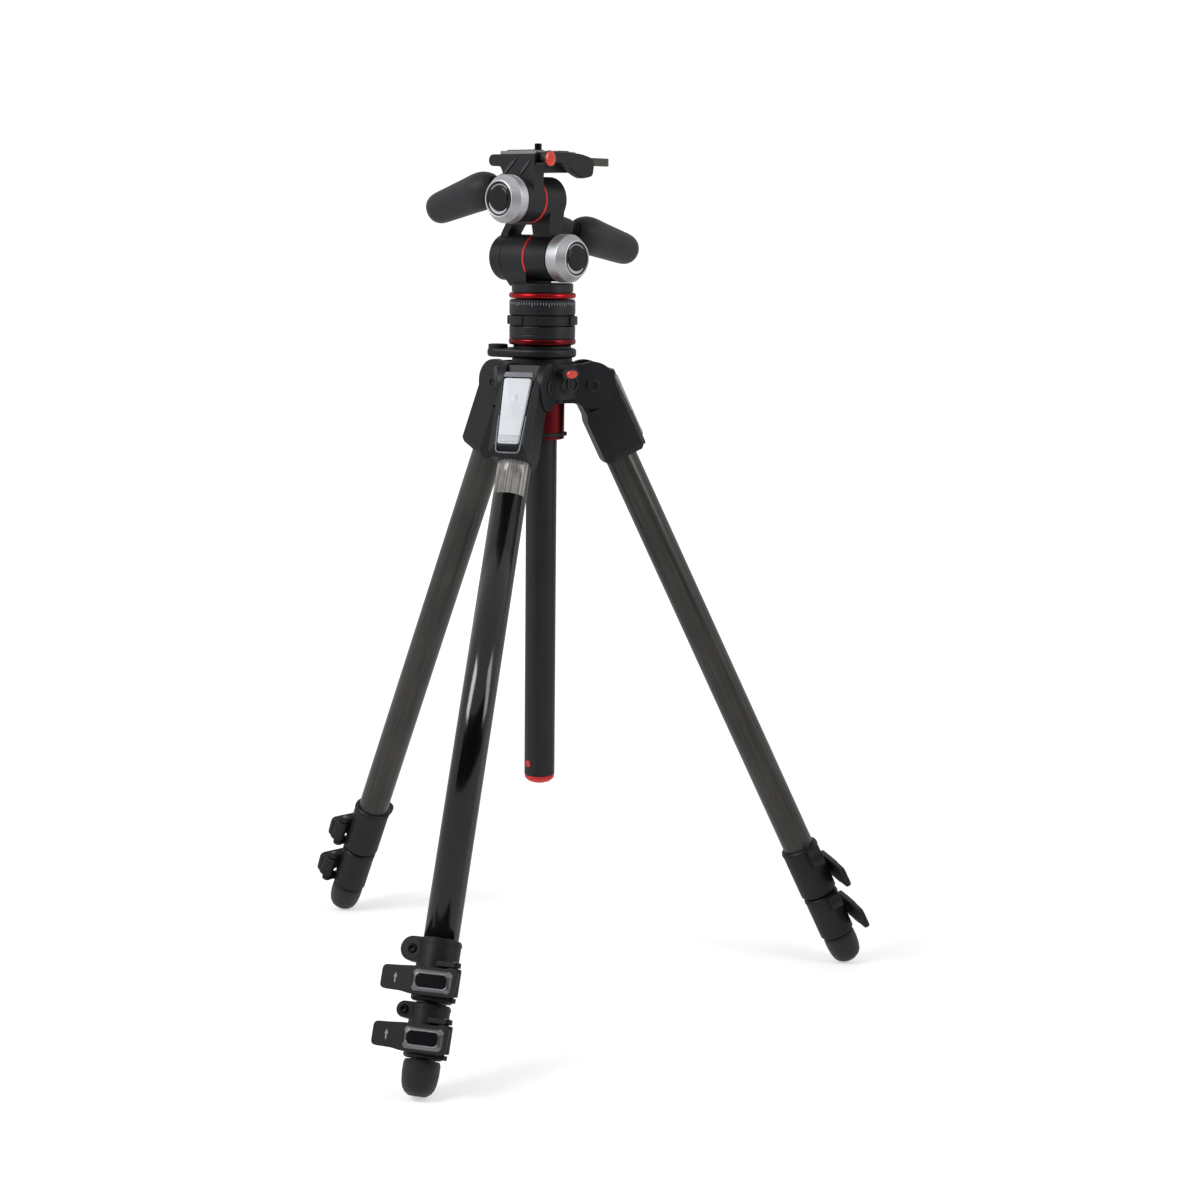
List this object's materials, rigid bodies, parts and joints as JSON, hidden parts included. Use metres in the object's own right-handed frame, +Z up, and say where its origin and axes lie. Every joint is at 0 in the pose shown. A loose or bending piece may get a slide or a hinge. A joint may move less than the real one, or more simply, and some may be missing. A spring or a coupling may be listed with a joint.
{
  "type": "camera tripod with three-way head",
  "caption": "Three-section carbon camera tripod with lever leg locks, sliding centre column, quick-release base and a three-way head with friction knobs.",
  "frame": {"origin": "middle of the bounding box, on the floor under the feet", "axes": "+Z up along the centre column; the front leg (leg_a) points to -Y"},
  "size_m": [0.5728, 0.5074, 0.772],
  "materials": {
    "carbon_tube": "clear-coated carbon fibre, satin",
    "black_casting": "die-cast, satin black powder coat",
    "black_moulding": "glass-filled nylon, fine texture",
    "grip_plastic": "soft-touch moulding",
    "silver_metal": "turned and bead-blasted, clear anodised",
    "red_anodised": "red anodised",
    "red_plastic": "moulded red nylon",
    "grey_plastic": "moulded grey nylon",
    "plate_aluminium": "dark grey painted die-casting",
    "foot_rubber": "moulded rubber",
    "steel": "turned steel"
  },
  "bodies": {
    "tripod_spider": {"spider": "black_casting", "leg_pivot_pins": "steel", "column_sleeve": "red_anodised"},
    "leg_a": {"leg_casting_a": "black_casting", "upper_tube_a": "carbon_tube", "upper_clamp_a": "black_moulding"},
    "angle_catch_a_body": {"angle_catch_a": "silver_metal"},
    "middle_section_a": {"middle_tube_a": "carbon_tube", "lower_clamp_a": "black_moulding"},
    "upper_lever_a_body": {"upper_lever_a": "black_moulding"},
    "lower_section_a": {"lower_tube_a": "carbon_tube", "foot_a": "foot_rubber"},
    "lower_lever_a_body": {"lower_lever_a": "black_moulding"},
    "leg_b": {"leg_casting_b": "black_casting", "upper_tube_b": "carbon_tube", "upper_clamp_b": "black_moulding"},
    "angle_catch_b_body": {"angle_catch_b": "silver_metal"},
    "middle_section_b": {"middle_tube_b": "carbon_tube", "lower_clamp_b": "black_moulding"},
    "upper_lever_b_body": {"upper_lever_b": "black_moulding"},
    "lower_section_b": {"lower_tube_b": "carbon_tube", "foot_b": "foot_rubber"},
    "lower_lever_b_body": {"lower_lever_b": "black_moulding"},
    "leg_c": {"leg_casting_c": "black_casting", "upper_tube_c": "carbon_tube", "upper_clamp_c": "black_moulding"},
    "angle_catch_c_body": {"angle_catch_c": "silver_metal"},
    "middle_section_c": {"middle_tube_c": "carbon_tube", "lower_clamp_c": "black_moulding"},
    "upper_lever_c_body": {"upper_lever_c": "black_moulding"},
    "lower_section_c": {"lower_tube_c": "carbon_tube", "foot_c": "foot_rubber"},
    "lower_lever_c_body": {"lower_lever_c": "black_moulding"},
    "centre_column": {"column_tube": "carbon_tube", "column_head": "black_casting", "column_end_cap": "red_plastic", "mounting_stud": "steel", "quick_base_ring": "red_anodised", "quick_base": "black_casting"},
    "level_arm_body": {"level_arm": "black_moulding"},
    "column_lock_body": {"column_lock_knob": "black_moulding"},
    "quick_lock_body": {"quick_lock_ring": "black_casting"},
    "head_base": {"pan_base": "black_casting"},
    "pan_head": {"pan_ring": "red_anodised", "pan_housing": "black_casting"},
    "pan_lock_body": {"pan_lock_knob": "black_moulding"},
    "tilt_head": {"tilt_yoke": "black_casting", "tilt_shaft": "steel"},
    "tilt_knob_body": {"tilt_friction_knob": "silver_metal"},
    "tilt_handle_body": {"tilt_handle_rod": "steel"},
    "tilt_grip_body": {"tilt_handle_grip": "grip_plastic"},
    "roll_head": {"platform": "black_casting", "roll_shaft": "steel"},
    "roll_knob_body": {"roll_friction_knob": "silver_metal"},
    "roll_handle_body": {"roll_handle_rod": "steel"},
    "roll_grip_body": {"roll_handle_grip": "grip_plastic"},
    "plate_lever_body": {"plate_lever": "black_moulding"},
    "safety_catch_body": {"plate_safety_catch": "grey_plastic"},
    "camera_plate_body": {"camera_plate": "plate_aluminium"},
    "camera_screw_body": {"camera_screw": "steel"}
  },
  "joints": [
    {"name": "leg_a_spread", "type": "hinge", "parent": "tripod_spider", "child": "leg_a", "pos_m": [-0.00362, 0.0224, 0.56001], "axis": [-1, 0, 0], "range_deg": [-25.49, 62.5]},
    {"name": "angle_catch_a_press", "type": "hinge", "parent": "leg_a", "child": "angle_catch_a_body", "pos_m": [-0.00362, 0.00911, 0.57255], "axis": [-1, 0, 0], "range_deg": [0, 6], "stiffness_Nm_per_rad": 0.6},
    {"name": "middle_a_extend", "type": "slide", "parent": "leg_a", "child": "middle_section_a", "axis": [0, -0.4304, -0.9027], "range_m": [0, 0.41]},
    {"name": "upper_lever_a_open", "type": "hinge", "parent": "leg_a", "child": "upper_lever_a_body", "pos_m": [0.01688, -0.21501, 0.09225], "axis": [0, 0.4304, 0.9027], "range_deg": [0, 120]},
    {"name": "lower_a_extend", "type": "slide", "parent": "middle_section_a", "child": "lower_section_a", "axis": [0, -0.4304, -0.9027], "range_m": [0, 0.41]},
    {"name": "lower_lever_a_open", "type": "hinge", "parent": "middle_section_a", "child": "lower_lever_a_body", "pos_m": [0.01688, -0.23481, 0.05073], "axis": [0, 0.4304, 0.9027], "range_deg": [0, 120]},
    {"name": "leg_b_spread", "type": "hinge", "parent": "tripod_spider", "child": "leg_b", "pos_m": [-0.04035, 0.08601, 0.56001], "axis": [0.5, 0.866, 0], "range_deg": [-25.49, 62.5]},
    {"name": "angle_catch_b_press", "type": "hinge", "parent": "leg_b", "child": "angle_catch_b_body", "pos_m": [-0.05186, 0.09266, 0.57255], "axis": [0.5, 0.866, 0], "range_deg": [0, 6], "stiffness_Nm_per_rad": 0.6},
    {"name": "middle_b_extend", "type": "slide", "parent": "leg_b", "child": "middle_section_b", "axis": [-0.3727, 0.2152, -0.9027], "range_m": [0, 0.41]},
    {"name": "upper_lever_b_open", "type": "hinge", "parent": "leg_b", "child": "upper_lever_b_body", "pos_m": [-0.2562, 0.18697, 0.09225], "axis": [0.3727, -0.2152, 0.9027], "range_deg": [0, 120]},
    {"name": "lower_b_extend", "type": "slide", "parent": "middle_section_b", "child": "lower_section_b", "axis": [-0.3727, 0.2152, -0.9027], "range_m": [0, 0.41]},
    {"name": "lower_lever_b_open", "type": "hinge", "parent": "middle_section_b", "child": "lower_lever_b_body", "pos_m": [-0.27335, 0.19687, 0.05073], "axis": [0.3727, -0.2152, 0.9027], "range_deg": [0, 120]},
    {"name": "leg_c_spread", "type": "hinge", "parent": "tripod_spider", "child": "leg_c", "pos_m": [0.03311, 0.08601, 0.56001], "axis": [0.5, -0.866, 0], "range_deg": [-25.49, 62.5]},
    {"name": "angle_catch_c_press", "type": "hinge", "parent": "leg_c", "child": "angle_catch_c_body", "pos_m": [0.04462, 0.09266, 0.57255], "axis": [0.5, -0.866, 0], "range_deg": [0, 6], "stiffness_Nm_per_rad": 0.6},
    {"name": "middle_c_extend", "type": "slide", "parent": "leg_c", "child": "middle_section_c", "axis": [0.3727, 0.2152, -0.9027], "range_m": [0, 0.41]},
    {"name": "upper_lever_c_open", "type": "hinge", "parent": "leg_c", "child": "upper_lever_c_body", "pos_m": [0.22846, 0.22247, 0.09225], "axis": [-0.3727, -0.2152, 0.9027], "range_deg": [0, 120]},
    {"name": "lower_c_extend", "type": "slide", "parent": "middle_section_c", "child": "lower_section_c", "axis": [0.3727, 0.2152, -0.9027], "range_m": [0, 0.41]},
    {"name": "lower_lever_c_open", "type": "hinge", "parent": "middle_section_c", "child": "lower_lever_c_body", "pos_m": [0.24561, 0.23237, 0.05073], "axis": [-0.3727, -0.2152, 0.9027], "range_deg": [0, 120]},
    {"name": "column_lift", "type": "slide", "parent": "tripod_spider", "child": "centre_column", "axis": [0, 0, 1], "range_m": [0, 0.3]},
    {"name": "level_arm_turn", "type": "hinge", "parent": "tripod_spider", "child": "level_arm_body", "pos_m": [-0.00362, 0.06481, 0.59], "axis": [0, 0, 1], "continuous": true},
    {"name": "column_lock_turn", "type": "hinge", "parent": "tripod_spider", "child": "column_lock_body", "pos_m": [-0.00362, 0.06481, 0.562], "axis": [0, 1, 0], "range_deg": [0, 180]},
    {"name": "quick_lock_turn", "type": "hinge", "parent": "centre_column", "child": "quick_lock_body", "pos_m": [-0.00362, 0.06481, 0.617], "axis": [0, 0, 1], "range_deg": [0, 30]},
    {"name": "head_lift_off", "type": "slide", "parent": "centre_column", "child": "head_base", "axis": [0, 0, 1], "range_m": [0, 0.03]},
    {"name": "pan", "type": "hinge", "parent": "head_base", "child": "pan_head", "pos_m": [-0.00362, 0.06481, 0.64], "axis": [0, 0, 1], "continuous": true},
    {"name": "pan_lock_turn", "type": "hinge", "parent": "head_base", "child": "pan_lock_body", "pos_m": [-0.02362, 0.09945, 0.6287], "axis": [-0.5, 0.866, 0], "range_deg": [0, 180]},
    {"name": "tilt", "type": "hinge", "parent": "pan_head", "child": "tilt_head", "pos_m": [-0.00362, 0.06481, 0.672], "axis": [0.9171, -0.3987, 0], "range_deg": [-30, 80]},
    {"name": "tilt_friction_turn", "type": "hinge", "parent": "tilt_head", "child": "tilt_knob_body", "pos_m": [0.02297, 0.05325, 0.672], "axis": [0.9171, -0.3987, 0], "continuous": true},
    {"name": "tilt_handle_twist", "type": "hinge", "parent": "tilt_head", "child": "tilt_handle_body", "pos_m": [0.00326, 0.06182, 0.704], "axis": [0.3886, 0.8937, -0.2241], "continuous": true},
    {"name": "tilt_grip_extend", "type": "slide", "parent": "tilt_handle_body", "child": "tilt_grip_body", "axis": [0.3886, 0.8937, -0.2241], "range_m": [0, 0.055]},
    {"name": "roll", "type": "hinge", "parent": "tilt_head", "child": "roll_head", "pos_m": [-0.00362, 0.06481, 0.723], "axis": [-0.3987, -0.9171, 0], "range_deg": [-80, 25]},
    {"name": "roll_friction_turn", "type": "hinge", "parent": "roll_head", "child": "roll_knob_body", "pos_m": [-0.02156, 0.02354, 0.723], "axis": [-0.3987, -0.9171, 0], "continuous": true},
    {"name": "roll_handle_twist", "type": "hinge", "parent": "roll_head", "child": "roll_handle_body", "pos_m": [-0.01359, 0.04188, 0.745], "axis": [-0.8808, 0.383, -0.2785], "continuous": true},
    {"name": "roll_grip_extend", "type": "slide", "parent": "roll_handle_body", "child": "roll_grip_body", "axis": [-0.8808, 0.383, -0.2785], "range_m": [0, 0.055]},
    {"name": "plate_lever_open", "type": "hinge", "parent": "roll_head", "child": "plate_lever_body", "pos_m": [0.00854, 0.03335, 0.756], "axis": [0, 0, -1], "range_deg": [0, 60]},
    {"name": "safety_catch_pull", "type": "slide", "parent": "plate_lever_body", "child": "safety_catch_body", "axis": [0.3987, 0.9171, 0], "range_m": [0, 0.004], "stiffness_N_per_m": 400},
    {"name": "plate_lift_off", "type": "slide", "parent": "roll_head", "child": "camera_plate_body", "axis": [0, 0, 1], "range_m": [0, 0.03]},
    {"name": "camera_screw_turn", "type": "hinge", "parent": "camera_plate_body", "child": "camera_screw_body", "pos_m": [-0.00812, 0.06349, 0.765], "axis": [0, 0, 1], "continuous": true}
  ]
}
